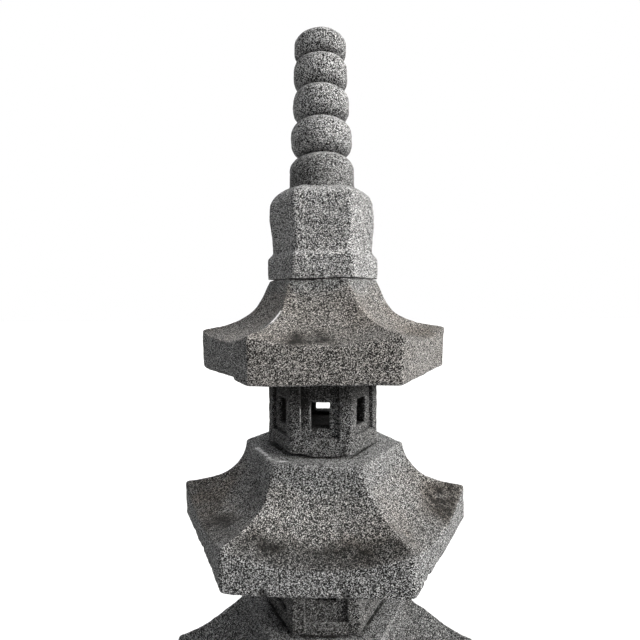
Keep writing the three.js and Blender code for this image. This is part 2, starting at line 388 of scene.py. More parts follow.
def make_roof(shape, height, chamber_below):
    """A roof's field, its regions for the stains and painted shade, and its box. The slope is a hollow curve.
    """
    steps = 28
    slope = []
    for n in range(steps + 1):
        q = n / steps * math.pi / 2
        outward = 1 - math.sin(q) ** (2 / shape["hollow"])
        down = math.cos(q) ** (2 / shape["flat"])
        radius = shape["plate"] + (shape["eave"] - shape["plate"]) * outward
        steep = shape["drop"] - shape["tail"]
        slope.append((radius * APOTHEM, height - steep * down - shape["tail"] * outward))
    eave = (shape["eave"] * APOTHEM, slope[0][1])
    band_below = -80
    low = ((shape["drip"] - (shape["eave"] - shape["drip"]) * 0.6) * APOTHEM, band_below)
    soft = shape["arris"]
    outline = [low, *fillet(low, eave, slope[2], soft), *slope[2:-2]]
    outline += [*fillet(slope[-4], slope[-1], (0, height), shape["plate_arris"])]
    profile = Profile(mirrored(outline))
    boss = hollow_radius(chamber_below) - BOSS_CLEARANCE

    def field(x, y, z, fine):
        rx = np.sqrt(x * x + y * y)
        px, py, bare = pushed(x, y, z, shape["pushes"])
        wx, wy, wz = wander(px, py, bare, shape["wander"], shape["phase"])
        px, py, pz = px + wx, py + wy, bare + wz * ramp(bare, 0, 25)
        if fine:
            bump = noise(px, py, pz, 15, shape["seed"])
            px, py = px + 0.8 * bump, py + 0.8 * noise(px, py, pz, 13, shape["seed"] + 1)
        turn, twist_low, twist_high = shape["twist"]
        a = math.radians(-turn) * ramp(bare, twist_low, twist_high)
        px, py = px - a * py, py + a * px
        out, along, _ = fold(px, py)
        d = hexed(out, along, shape["hip"])
        share = np.clip((d / APOTHEM - shape["plate"]) / (shape["eave"] - shape["plate"]), 0, 1.2)
        u = np.abs(along) / np.maximum(out * TAN30, 1)
        sag = shape["sag"] * (share + 1e-4) ** SAG_SPREAD * np.maximum(1 - u**SAG_POWER, 0)
        sag = np.where(share <= 0, 0, sag)
        f = profile(d, pz + sag)
        under = -bare
        if fine:
            under = under + 0.9 * noise(px, py, pz * 0, 40, shape["seed"] + 3) * ramp(rx, 150, 200)
        f = soft_max(f, under, shape["drip_arris"])
        drop = 0
        for cx, cy, reach, depth in shape["worn"]:
            drop = drop + depth * np.exp(-((x - cx) ** 2 + (y - cy) ** 2) / reach**2)
        f = np.maximum(f, z - height + drop)
        f = soft_min(f, np.maximum(soft_max(rx - boss, -ROOF_BOSS_LENGTH - z, 3), z - 6), 1)
        f = soft_max(f, -mortise_field(x, y, z, height), 2)
        return chipped(f, x, y, z, shape["chips"], shape["seed"])

    def regions(x, y, z):
        """Share of the way from plate to eave, from a side's middle to its hip, and the side."""
        out, along, side = fold(x, y)
        d = hexed(out, along, 4)
        share = (d / APOTHEM - shape["plate"]) / (shape["eave"] - shape["plate"])
        u = np.abs(along) / np.maximum(out * TAN30, 1)
        return share, u, side

    wide = shape["eave"] + 8
    deep = wide * APOTHEM + 4
    return field, regions, (-wide, -deep, -ROOF_BOSS_LENGTH - 1), (wide, deep, height + 2)


def make_chamber(shape, height):
    """A chamber's field and box: sunk panels with windows through them, round a hollow with a floor."""
    radius, panel_foot = shape["radius"], shape["panel_foot"]
    face = radius * APOTHEM
    post = radius * POST_SHARE
    hollow = hollow_radius(radius)
    floor = height * FLOOR_SHARE
    panel_half = (radius - post * 2) / 2
    window_half = radius * WINDOW_WIDTH_SHARE / 2
    sill, head = height * shape["sill"], height * shape["head"]

    def field(x, y, z, fine):
        x = x - shape["shift"]
        wx, wy, _ = wander(x, y, z, CHAMBER_WANDER, shape["phase"])
        px, py = x + wx, y + wy
        if fine:
            px = px + 0.6 * noise(x, y, z, 14, shape["seed"])
            py = py + 0.6 * noise(x, y, z, 12, shape["seed"] + 1)
        out, along, side = fold(px, py)
        tilt = 0.9 * np.sin(side * 2.3 + shape["phase"])
        f = hexed(out, along, 3.5) - face
        f = soft_max(f, z - height, 2)
        f = soft_max(f, shape["foot_gap"](x, y) - z, 2)
        recess = np.maximum(np.abs(along + tilt) - panel_half, face - PANEL_DEPTH - out)
        recess = np.maximum(recess, np.maximum(panel_foot + tilt - z, z - (height - PANEL_HEAD)))
        f = soft_max(f, -recess, 1.6)
        low = shape["sills"](side, sill)
        window = np.maximum(np.abs(along + 0.6 * tilt) - window_half, hollow / 2 - out)
        window = np.maximum(window, np.maximum(low - z, z - shape["heads"](side, head)))
        f = soft_max(f, -window, 1.6)
        r = np.sqrt(x * x + y * y)
        f = soft_max(f, -np.maximum(r - hollow, floor - z), 3)
        f = soft_min(f, tenon_field(x, y, z), 2)
        return chipped(f, x, y, z, shape["chips"], shape["seed"])

    wide = radius + 6
    deep = wide * APOTHEM + 3
    return field, (-wide, -deep, -TENON_LENGTH - 1), (wide, deep, height + 2)


CAP_FOOT, CAP_WAIST, CAP_SHOULDER, CAP_NECK = 112.5, 102, 109, 56
CAP_FOOT_HEIGHT, CAP_FLARE_HEIGHT, CAP_SHOULDER_HEIGHT, CAP_HEIGHT = 39, 55, 138, 192
CAP_TOP_SAG, CAP_DOME_POWER = 10, 3.2
SPIRE_FOOT = 176
RING_RADII = (66, 61.5, 57.2, 54.2, 52.3)
RING_HEIGHTS = (73, 71, 63, 59.5, 54.5)
RING_DOMES = (30, 28, 26, 24, 26)
RING_LOWER_ROUNDS = (9, 23, 22, 18, 15)
GROOVE_RADIUS = 33
FINIAL_LEAN = 3.2
FINIAL_HEIGHT = SPIRE_FOOT + sum(RING_HEIGHTS)
RINGS = tuple(zip(RING_RADII, RING_HEIGHTS, RING_DOMES, RING_LOWER_ROUNDS))


def smooth(t):
    return t * t * (3 - 2 * t)


def between(a, b, share):
    return a + (b - a) * share


def cap_foot(x, y):
    """Height of the cap's uneven underside: high at both ends, low along the front."""
    ends = 1.2 * ramp(np.abs(x), 70, 108)
    return ends - 2.4 * np.exp(-((x + 35) ** 2 + (y + 95) ** 2) / 55**2)


def make_finial():
    """The finial's field and box: a six-sided cap with flare, waist and shoulder, and five round rings."""
    rows = [(CAP_FOOT, 0), (CAP_FOOT, CAP_FOOT_HEIGHT)]
    for t in np.linspace(0.12, 1, 8):
        rows.append((between(CAP_FOOT, CAP_WAIST, smooth(t)), between(CAP_FOOT_HEIGHT, CAP_FLARE_HEIGHT, t)))
    for t in np.linspace(0.1, 1, 10):
        height = between(CAP_FLARE_HEIGHT, CAP_SHOULDER_HEIGHT, t)
        rows.append((between(CAP_WAIST, CAP_SHOULDER, smooth(t)), height))
    for t in np.linspace(0.08, 1, 12):
        height = between(CAP_SHOULDER_HEIGHT, CAP_HEIGHT, t)
        rows.append((between(CAP_NECK, CAP_SHOULDER, 1 - t**CAP_DOME_POWER), height))
    outline = [(r * APOTHEM, z) for r, z in rows]
    foot = fillet((0, -6), (outline[0][0], -6), outline[1], 1.0)
    cap = Profile(mirrored([*foot, *outline[1:]]))

    def field(x, y, z, fine):
        wx, wy, _ = wander(x, y, z, 1.0, 4.2)
        px, py, pz = pushed(x + wx + FINIAL_LEAN * (z / FINIAL_HEIGHT) ** 2, y + wy, z, FINIAL_PUSHES)
        if fine:
            px = px + 0.45 * noise(x, y, z, 12, 31)
            py = py + 0.45 * noise(x, y, z, 12, 32)
        out, along, _ = fold(px, py)
        sag = CAP_TOP_SAG * py * py / np.maximum(px * px + py * py, 1) * ramp(pz, 150, 178)
        f = cap(hexed(out, along, 5), pz + sag)
        f = soft_max(f, cap_foot(px, py) - z, 1)
        r = np.sqrt(px * px + py * py)
        low = SPIRE_FOOT
        for n, (full, tall, dome, lower) in enumerate(RINGS):
            top = low + tall
            inner = full - 3 if n == 0 else GROOVE_RADIUS
            crest = 0 if n == len(RINGS) - 1 else GROOVE_RADIUS
            wave = 1.2 * np.sin(np.arctan2(py, px) * 2 + n * 1.7)
            above = np.maximum((pz + wave * 0.5 - (top - dome)) / dome, 0)
            below = np.maximum((low + lower - pz) / lower, 0)
            v = np.maximum(above, below)
            core = np.where(above > below, crest, inner)
            half = np.where(above > below, dome, lower)
            width = full - core
            u = np.maximum(r - core, 0) / width
            s = np.sqrt(u * u + v * v)
            steep = np.sqrt((u / width) ** 2 + (v / half) ** 2)
            ring = (s - 1) * s / np.maximum(steep, 1e-6)
            ring = np.where(s < 0.3, -0.7 * np.minimum(width, half), ring)
            f = soft_min(f, ring, 2.2)
            low = top
        f = soft_min(f, tenon_field(x, y, z), 2)
        return chipped(f, x, y, z, FINIAL_CHIPS, 33)

    wide, deep = CAP_FOOT + 6.5, 104
    return field, (-wide, -deep, -TENON_LENGTH - 1), (wide, deep, FINIAL_HEIGHT + 3)


BASE_FOOT = 246


def make_base():
    """The base stone's field and box: an upright foot with a hollow slope up to the bed."""
    foot_r, foot_h, arris = BASE_FOOT, 72, 6
    shoulder_r, rise, bed_r, bow = 226, 14, 176, 1.5
    low = foot_h + rise / 2
    rows = [(foot_r, 0), (foot_r, foot_h - arris), (foot_r - arris, foot_h), (shoulder_r, low)]
    for n in range(1, 13):
        q = n / 12 * math.pi / 2
        inward, down = math.sin(q) ** (2 / bow), math.cos(q) ** (2 / bow)
        rows.append((shoulder_r - (shoulder_r - bed_r) * inward, PLINTH_TOP - (PLINTH_TOP - low) * down))
    outline = [(r * APOTHEM, z) for r, z in rows]
    foot = fillet((0, 0), outline[0], outline[1], 4)
    top = fillet(outline[-3], outline[-1], (0, PLINTH_TOP), 5)
    profile = Profile(mirrored([*foot, *outline[1:-2], *top]))

    def field(x, y, z, fine):
        wx, wy, wz = wander(x, y, z, 1.5, 0.4)
        still = ramp(z, 0, 20) * ramp(PLINTH_TOP - z, 0, 20)
        px, py, pz = x + wx, y + wy, z + wz * still
        if fine:
            px = px + 0.8 * noise(x, y, z, 16, 41)
            py = py + 0.8 * noise(x, y, z, 16, 42)
        out, along, _ = fold(px, py)
        f = profile(hexed(out, along, 9), pz)
        f = soft_max(f, -mortise_field(x, y, z, PLINTH_TOP), 2)
        return chipped(f, x, y, z, BASE_CHIPS, 43)

    return field, (-252, -220, -1), (252, 220, PLINTH_TOP + 2)


# ---- Stains, painted shade and painted highlights: how dark, brown and light each point of a stone is ----
def streaked(x, y, z, streaks):
    """Bright lines along segments: arrises knocked clean, and painted highlights where an arris catches the
    light.
    """
    light = 0
    p = np.stack([x, y, z], 1)
    broken = 0.85 + 0.55 * noise(x, y, z, 7, 5)
    for start, end, reach, strength in streaks:
        s, e = np.array(start, float), np.array(end, float)
        t = np.clip((p - s) @ (e - s) / ((e - s) @ (e - s)), 0, 1)
        away = np.linalg.norm(p - s - t[:, None] * (e - s), axis=1)
        light = light + strength * np.exp(-((away / reach) ** 2)) * np.sin(np.pi * (0.1 + 0.8 * t))
    return light * broken


def foot_lines(radius, shift, z, reach, strength):
    """The line on a plate along the foot of the chamber that stands on it: painted contact shade, with dirt.
    """
    ends = [(corner(n, radius, z), corner(n + 1, radius, z)) for n in range(SIDES)]
    return [((a[0] + shift, *a[1:]), (b[0] + shift, *b[1:]), reach, strength) for a, b in ends]


def roof_paint(regions, seed, brown_top, band_brown, tones, spots=(), streaks=(), shade_and_grime=(), grey_side=None):
    """Dirt, painted shade, brown and light for points on a roof.

    tones gives a side's extra darkening on its slope, low slope and band. A spot is a soft blot: its middle,
    reach, darkening and brown. A streak and a line of painted shade with grime have two ends, a reach and a
    strength.
    """

    def paint(x, y, z, normal, wear):
        share, u, side = regions(x, y, z)
        slope = ramp(normal[:, 2], 0.12, 0.45) * ramp(share, -0.02, 0.08)
        band = (1 - slope) * ramp(share, 0.6, 0.8) * ramp(normal[:, 2], -0.6, -0.3)
        low_slope = slope * ramp(share, 0.5, 0.78)
        cloud = layered(x, y, z, 70, seed + 50)
        patch = layered(x, y, z, 26, seed + 60)
        speck = layered(x, y, z, 8, seed + 70)
        brown = slope * (brown_top + 0.3 * cloud) + band * band_brown * (side != grey_side) + 0.08 * patch
        dirt_and_shade = 0.14 * low_slope * (1 - 0.4 * u**2) + 0.13 * cloud + 0.12 * patch
        for place, (on_slope, on_low, on_band) in tones.items():
            here = side == place
            dirt_and_shade = dirt_and_shade + here * (on_slope * slope + on_low * low_slope + on_band * band)
        for place, reach, depth, tan in spots:
            d2 = sum((c - q) ** 2 for c, q in zip((x, y, z), place))
            blot = np.exp(-d2 / reach**2) * (0.85 + 0.7 * patch + 0.5 * speck) * slope
            dirt_and_shade = dirt_and_shade + depth * blot
            brown = brown + tan * blot
        # Painted shade on downward faces. Darker in hollows and creases: painted shade there, with dirt.
        dirt_and_shade = dirt_and_shade + 0.12 * ramp(-normal[:, 2], 0.3, 0.8) - 0.25 * np.minimum(wear, 0)
        light = 0.4 * ramp(wear, 0.2, 0.8) * (0.6 + 0.6 * patch)
        light = light + 0.3 * ramp(0.06 - share, 0, 0.1) * (0.5 + patch)
        # Lines of painted shade with grime: darker and less pale along them.
        shade_and_grime_lines = streaked(x, y, z, shade_and_grime)
        dirt_and_shade, light = dirt_and_shade + shade_and_grime_lines, light - shade_and_grime_lines
        return dirt_and_shade, brown, light + streaked(x, y, z, streaks)

    return paint


def chamber_paint(seed, radius, height, depth, spots=(), streaks=()):
    """Dark stone with painted shade: blackest under the eave, inside the hollow and window passages, and in
    hollows.
    """

    def paint(x, y, z, normal, wear):
        r = np.sqrt(x * x + y * y)
        cloud = layered(x, y, z, 60, seed + 50)
        patch = layered(x, y, z, 22, seed + 60)
        # Darker in hollows and recess corners: painted shade there, with dirt.
        dirt_and_shade = depth + 0.12 * cloud + 0.1 * patch - 0.35 * np.minimum(wear, 0)
        # Painted shade under the eave: darker towards the top.
        dirt_and_shade = dirt_and_shade + 0.12 * ramp(z, 0.3 * height, 0.8 * height)
        dirt_and_shade = dirt_and_shade + 0.6 * ramp(z, 0.5 * height, 0.82 * height)
        dirt_and_shade = dirt_and_shade + 0.7 * ramp(5 - z, 0, 5)
        # Painted shade inside the hollow.
        dirt_and_shade = dirt_and_shade + 0.9 * ramp(hollow_radius(radius) + 8 - r, 0, 7)
        out = fold(x, y)[0]
        # Painted shade in the window passages, deeper than the panel face.
        dirt_and_shade = dirt_and_shade + 0.8 * ramp(radius * APOTHEM - PANEL_DEPTH - out, 2, 9) * (z > 0)
        for place, reach, much in spots:
            d2 = sum((c - q) ** 2 for c, q in zip((x, y, z), place))
            dirt_and_shade = dirt_and_shade + much * np.exp(-d2 / reach**2)
        brown = 0.1 + 0.15 * cloud
        light = 0.6 * ramp(wear, 0.2, 0.9) * (0.6 + 0.6 * patch) + streaked(x, y, z, streaks)
        return dirt_and_shade, brown, light

    return paint


def finial_paint(x, y, z, normal, wear):
    """Painted shade on the lower part of each ring and on the left, a darker lowest ring, and painted
    highlights on the ring crests and upward faces.
    """
    cloud = layered(x, y, z, 80, 350)
    patch = layered(x, y, z, 24, 360)
    dirt_and_shade = -0.06 + 0.1 * cloud + 0.07 * patch - 0.3 * np.minimum(wear, 0)
    low = SPIRE_FOOT
    crest_highlight = 0
    for tall in RING_HEIGHTS:
        # Painted shade on the lower part of each ring.
        dirt_and_shade = dirt_and_shade + 0.2 * ramp(z, low - 1, low + 2) * ramp(low + 0.7 * tall - z, 0, 0.5 * tall)
        # Painted highlight along each ring's crest.
        crest_highlight = crest_highlight + ramp(z, low + tall - 12, low + tall - 5) * ramp(low + tall + 1 - z, 0, 2)
        low += tall
    # A darker lowest ring, and painted shade on the left, away from the key light.
    dirt_and_shade = dirt_and_shade + 0.34 * ramp(z, 176, 186) * ramp(252 - z, 0, 6) + 0.12 * ramp(-x, 15, 60)
    dirt_and_shade = dirt_and_shade + 0.12 * ramp(x, 55, 95) * ramp(190 - z, 0, 12)
    brown = 0.02 + 0.08 * cloud
    # Pale worn arrises, a painted highlight on upward faces and the painted crest highlights.
    light = 0.4 * ramp(wear, 0.2, 0.9) + 0.2 * ramp(normal[:, 2], 0.3, 0.9) + 0.45 * crest_highlight
    return dirt_and_shade, brown, light


def base_paint(x, y, z, normal, wear):
    """Browner and damp near the ground."""
    cloud = layered(x, y, z, 80, 450)
    patch = layered(x, y, z, 26, 460)
    damp = ramp(60 - z, 0, 55)
    dirt_and_shade = 0.1 + 0.18 * cloud + 0.1 * patch + 0.22 * damp
    brown = 0.35 + 0.2 * cloud
    light = 0.4 * ramp(wear, 0.2, 0.9) * (0.6 + 0.4 * patch)
    return dirt_and_shade, brown, light


# ---- Stone material ----
PIT_BLACK, CRYSTAL_WHITE = 0.012, 0.75
DIRT_AND_SHADE_TINT, BROWN_TINT = (0.07, 0.066, 0.062), (1.0, 0.86, 0.73)
TOOLING_SIZE = 11  # mm, between the low rolls that the chisel left


class Nodes:
    """Short calls for adding and joining the nodes of a material or world."""

    def __init__(self, material):
        material.use_nodes = True
        self.tree = material.node_tree
        self.tree.nodes.clear()

    def add(self, kind, **settings):
        node = self.tree.nodes.new(kind)
        for key, value in settings.items():
            setattr(node, key, value)
        return node

    def link(self, source, target):
        self.tree.links.new(source, target)

    def math(self, operation, a, b=None, clamp=False):
        node = self.add("ShaderNodeMath", operation=operation, use_clamp=clamp)
        for socket, value in zip(node.inputs, (a, b)):
            if value is None:
                continue
            if isinstance(value, (int, float)):
                socket.default_value = value
            else:
                self.link(value, socket)
        return node.outputs[0]

    def attribute(self, name):
        return self.add("ShaderNodeAttribute", attribute_name=name).outputs["Fac"]

    def noise(self, coordinates, size_mm, roughness=0.5):
        node = self.add("ShaderNodeTexNoise", noise_dimensions="3D")
        node.inputs["Scale"].default_value = 1000 / size_mm
        node.inputs["Detail"].default_value = 2.0
        node.inputs["Roughness"].default_value = roughness
        self.link(coordinates, node.inputs["Vector"])
        return node.outputs["Fac"]

    def grain(self, coordinates, size_mm):
        """Two random numbers from 0 to 1 for each grain, and the distance from the grain's middle."""
        node = self.add("ShaderNodeTexVoronoi", voronoi_dimensions="3D", feature="F1")
        node.inputs["Scale"].default_value = 1000 / size_mm
        self.link(coordinates, node.inputs["Vector"])
        split = self.add("ShaderNodeSeparateColor")
        self.link(node.outputs["Color"], split.inputs[0])
        return split.outputs[0], split.outputs[1], node.outputs["Distance"]

    def ramp(self, factor, stops):
        node = self.add("ShaderNodeValToRGB")
        elements = node.color_ramp.elements
        while len(elements) < len(stops):
            elements.new(0.5)
        for element, (position, colour) in zip(elements, stops):
            element.position = position
            element.color = (*colour, 1)
        self.link(factor, node.inputs[0])
        return node.outputs[0]

    def mix(self, factor, a, b, blend="MIX"):
        node = self.add("ShaderNodeMix", data_type="RGBA", blend_type=blend)
        for socket, value in zip((node.inputs[0], node.inputs[6], node.inputs[7]), (factor, a, b)):
            if isinstance(value, tuple):
                socket.default_value = (*value, 1)
            elif isinstance(value, (int, float)):
                socket.default_value = value
            else:
                self.link(value, socket)
        return node.outputs[2]


def grey(value, warm=0.0):
    """A grey of that brightness, warmer above 0 and cooler below."""
    return (value * (1 + warm), value, value * (1 - 1.4 * warm))


def stone_material(name, level, contrast, coarse, warm):
    """Speckled volcanic stone. level is its mean brightness and coarse its grain in mm."""
    material = bpy.data.materials.new(name)
    n = Nodes(material)
    place = n.add("ShaderNodeTexCoord").outputs["Object"]
    big, _, away = n.grain(place, coarse)
    small, _, _ = n.grain(place, coarse * 0.6)
    cluster = n.noise(place, coarse * 5)
    # Large and small crystals in a dark matrix, with a faint clustering.
    value = n.math("ADD", n.math("MULTIPLY", big, 0.8), n.math("MULTIPLY", small, 0.22))
    value = n.math("ADD", value, n.math("MULTIPLY", n.math("SUBTRACT", cluster, 0.5), 0.16))
    value = n.math("SUBTRACT", value, n.math("MULTIPLY", n.math("SUBTRACT", away, 0.38), 0.55))
    colour = n.ramp(
        value,
        [
            (0.15, grey(level * 0.04)),
            (0.36, grey(level * max(0.05, 0.42 * (1 - contrast)), warm)),
            (0.5, grey(level * 0.6, warm)),
            (0.63, grey(level * (1 + contrast) * 1.15, warm * 0.8)),
            (0.85, grey(min(level * (1 + contrast) * 3.0, 0.9), warm * 0.4)),
        ],
    )
    # Sparse white feldspar crystals, and dark pits.
    fleck, fleck_b, within = n.grain(place, coarse * 1.55)
    solid = n.math("LESS_THAN", within, 0.45)
    white = n.math("MULTIPLY", n.math("GREATER_THAN", fleck, 0.962), solid)
    colour = n.mix(n.math("MULTIPLY", white, 0.8), colour, grey(CRYSTAL_WHITE, 0.01))
    black = n.math("MULTIPLY", n.math("GREATER_THAN", fleck_b, 0.84), solid)
    colour = n.mix(n.math("MULTIPLY", black, 0.8), colour, grey(PIT_BLACK))
    # Weathering and painted light: brown film, settled dirt with painted shade, pale worn arrises with
    # painted highlights.
    brown = n.math("MULTIPLY", n.attribute("brown"), 1.0, clamp=True)
    colour = n.mix(n.math("MULTIPLY", brown, 0.75), colour, BROWN_TINT, "MULTIPLY")
    # This darkening is settled dirt and painted shade together.
    uneven = n.math("ADD", n.math("MULTIPLY", cluster, 1.1), 0.45)
    dirt_and_shade_amount = n.math("MULTIPLY", n.attribute("dirt_and_shade"), uneven, clamp=True)
    colour = n.mix(dirt_and_shade_amount, colour, DIRT_AND_SHADE_TINT, "MULTIPLY")
    # The light attribute lifts to pale worn stone and also carries painted highlights. Past 0.85 it turns to
    # the palest broken-stone colour, painted highlights included.
    lift = n.math("MULTIPLY", n.attribute("light"), 0.75, clamp=True)
    wear_and_highlight_white = grey(min(level * 4.5, 0.8))
    worn = n.ramp(value, [(0.2, grey(level * 0.9)), (0.5, grey(level * 2.2)), (0.8, wear_and_highlight_white)])
    colour = n.mix(lift, colour, worn)
    fresh_break_and_highlight = n.math("MULTIPLY", n.math("SUBTRACT", n.attribute("light"), 0.85), 2.0, clamp=True)
    broken = n.ramp(value, [(0.2, grey(0.32)), (0.5, grey(0.6)), (0.8, grey(0.85))])
    colour = n.mix(fresh_break_and_highlight, colour, broken)
    shader = n.add("ShaderNodeBsdfPrincipled")
    n.link(colour, shader.inputs["Base Color"])
    rough = n.math("SUBTRACT", 0.98, n.math("MULTIPLY", n.math("MULTIPLY", white, big), 0.35))
    n.link(rough, shader.inputs["Roughness"])
    shader.inputs["Specular IOR Level"].default_value = 0.3
    # Relief: crystals stand at different heights, pores sink, and the tooling rolls gently.
    pores = n.ramp(n.noise(place, coarse * 1.2, 0.6), [(0.36, (0, 0, 0)), (0.5, (1, 1, 1))])
    height = n.math("ADD", n.math("MULTIPLY", big, 0.55), n.math("MULTIPLY", small, 0.35))
    height = n.math("ADD", height, n.math("MULTIPLY", pores, 0.7))
    height = n.math("ADD", height, n.math("MULTIPLY", n.noise(place, TOOLING_SIZE), 0.5))
    relief = n.add("ShaderNodeBump")
    relief.inputs["Strength"].default_value = 0.85
    relief.inputs["Distance"].default_value = coarse * 0.6 * MM
    n.link(height, relief.inputs["Height"])
    n.link(relief.outputs[0], shader.inputs["Normal"])
    out = n.add("ShaderNodeOutputMaterial")
    n.link(shader.outputs[0], out.inputs["Surface"])
    return material


# ---- Each stone's own shape ----
# A push is a middle, a reach and a shift.
rng = np.random.default_rng(7)

FINIAL_PUSHES = [
    ((106, 0, 152), 26, (-3.5, 0, 0)),
    ((-104, 0, 176), 26, (3, 0, 0)),
    ((106, 0, 70), 45, (1.6, 0, 0)),
    ((113, 0, 20), 35, (2.2, 0, 0)),
    ((-108, 0, 105), 60, (-2, 0, 0.8)),
    ((-113, 0, 15), 35, (-1, 0, 0)),
]
FINIAL_CHIPS = edge_chips(rng, 7, CAP_FOOT, 0, (3, 6))
BASE_CHIPS = edge_chips(rng, 10, BASE_FOOT, 70, (6, 12)) + edge_chips(rng, 8, BASE_FOOT, 0, (6, 12))

# A roof's corner radii are plate on top, eave at the widest and drip below. The slope falls by drop, and by
# tail in its flat outer part. hollow and flat bend it, and sag hollows it between the hips. arris,
# plate_arris, drip_arris and hip are edge roundings, twist is a turn and the heights it sets in between, and
# worn lists dips in the plate.
ROOF_3 = {
    "plate": 172, "eave": 318, "drip": 315, "drop": 90, "tail": 50,
    "hollow": 2, "flat": 0.9, "sag": 36,
    "arris": 9, "plate_arris": 9, "drip_arris": 7, "hip": 9,
    "wander": 1.6, "phase": 0.3, "seed": 11, "twist": (0, 100, 150),
    "worn": [],
    "pushes": [
        ((-195, 0, 150), 40, (0, 0, 1.5)),
        ((215, 0, 140), 45, (2, 0, 5.5)),
        ((-318, 0, 78), 24, (2, 0, 1)),
    ],
    "chips": edge_chips(rng, 12, 316, 2, (6, 12)) + edge_chips(rng, 5, 172, 169, (4, 8)),
}
ROOF_2 = {
    "plate": 163.5, "eave": 291.5, "drip": 290.5, "drop": 90.5, "tail": 20,
    "hollow": 3.5, "flat": 2, "sag": 24.5,
    "arris": 4.5, "plate_arris": 7, "drip_arris": 6, "hip": 4,
    "wander": 1.3, "phase": 1.9, "seed": 12, "twist": (-2.4, 92, 145),
    "worn": [],
    "pushes": [
        ((-291, 0, 55), 70, (-3.2, 0, 0.8)),
        ((155, -240, 0), 55, (3, -1.5, 0)),
        ((-218, -126, 5), 120, (-2.6, -1.5, 0)),
        ((-150, -253, 40), 60, (-5, 0, 0)),
        ((218, -126, 5), 120, (3.5, -2, 0)),
        ((182, 0, 130), 38, (4, 0, 3)),
        ((285, 0, 75), 50, (0, 0, 1.5)),
        ((-90, -252, -15), 55, (0, 0, -4.3)),
        ((0, -252, -15), 55, (0, 0, -4.3)),
        ((90, -252, -15), 55, (0, 0, -4.3)),
    ],
    "chips": edge_chips(rng, 10, 290, 1, (5, 10)) + edge_chips(rng, 4, 163, 159, (4, 7)),
}
# Bites along the broken drip edge on the left: share of the way along the side, and height.
WORN_DRIP = [(0.71, 1), (0.665, 0.5), (0.62, 0), (0.575, -1), (0.53, -2.5), (0.48, -4)]
ROOF_1 = {
    "plate": 110, "eave": 250.5, "drip": 246.5, "drop": 100.5, "tail": 25,
    "hollow": 3.8, "flat": 1.2, "sag": 16,
    "arris": 4, "plate_arris": 4, "drip_arris": 5, "hip": 4,
    "wander": 1.2, "phase": 3.1, "seed": 13, "twist": (-4.3, 102, 165),
    "worn": [
        (-112, 4, 16, 2.4),
        (112, -4, 14, 2.0),
        (-35, -95, 52, 4.1),
        (-20, -98, 10, 0.6),
        (25, -98, 9, -0.5),
        (45, -95, 30, 1.0),
    ],
    "pushes": [
        ((250, 0, 60), 75, (3.5, 0, 3)),
        ((126, 0, 165), 26, (2.2, 0, 1)),
        ((-126, 0, 165), 26, (-3.2, 0, 1)),
        ((150, 0, 125), 35, (-1.5, 0, -1.5)),
        ((-150, 0, 125), 35, (2, 0, -1)),
        ((-215, 0, 92), 60, (0, 0, -2)),
        ((-190, -95, 0), 80, (0, 0, 3)),
        ((-82, -141, 105), 36, (-2.5, -0.5, 2)),
    ],
    "chips": edge_chips(rng, 9, 247, 1, (4, 9))
    + edge_chips(rng, 3, 110, 180, (3, 5))
    + [(along_side(3, 247, share, height), 9) for share, height in WORN_DRIP],
}


def lifted_foot(left_gap, right_gap, face):
    """A foot whose front left and front right sides stand clear of the bed by those gaps."""

    def foot(x, y):
        left = -APOTHEM * x - 0.5 * y
        right = APOTHEM * x - 0.5 * y
        return left_gap * ramp(left, face - 40, face - 18) + right_gap * ramp(right, face - 30, face - 12)

    return foot


def uneven_sills(side, sill):
    return sill + 1.5 * np.sin(side * 1.9)


def uneven_heads(side, head):
    return head + 1.2 * np.sin(side * 2.9)


def chamber_1_sills(side, sill):
    front, back = 51.5, 47.1
    return np.where(side == FRONT, front, np.where(side == BACK, back, uneven_sills(side, sill)))


def chamber_1_heads(side, head):
    front = 101.2
    return np.where(side == FRONT, front, uneven_heads(side, head))


# sill and head are shares of the chamber's height.
CHAMBERS = {
    "chamber_3": {
        "radius": 136, "panel_foot": 32, "sill": 0.335, "head": 0.67,
        "phase": 0.9, "seed": 21, "chips": edge_chips(rng, 5, 136, 1, (4, 7)), "shift": 0,
        "foot_gap": lifted_foot(1, 1, 118), "sills": uneven_sills, "heads": uneven_heads,
    },
    "chamber_2": {
        "radius": 127, "panel_foot": 26, "sill": 0.335, "head": 0.67,
        "phase": 2.2, "seed": 22, "chips": [], "shift": 3.6,
        "foot_gap": lifted_foot(3.6, 3, 110), "sills": uneven_sills, "heads": uneven_heads,
    },
    "chamber_1": {
        "radius": 113.8, "panel_foot": 34, "sill": 0.325, "head": 0.66,
        "phase": 5.2, "seed": 23, "chips": [], "shift": -1.6,
        "foot_gap": lifted_foot(5.5, 3.8, 98.5), "sills": chamber_1_sills, "heads": chamber_1_heads,
    },
}
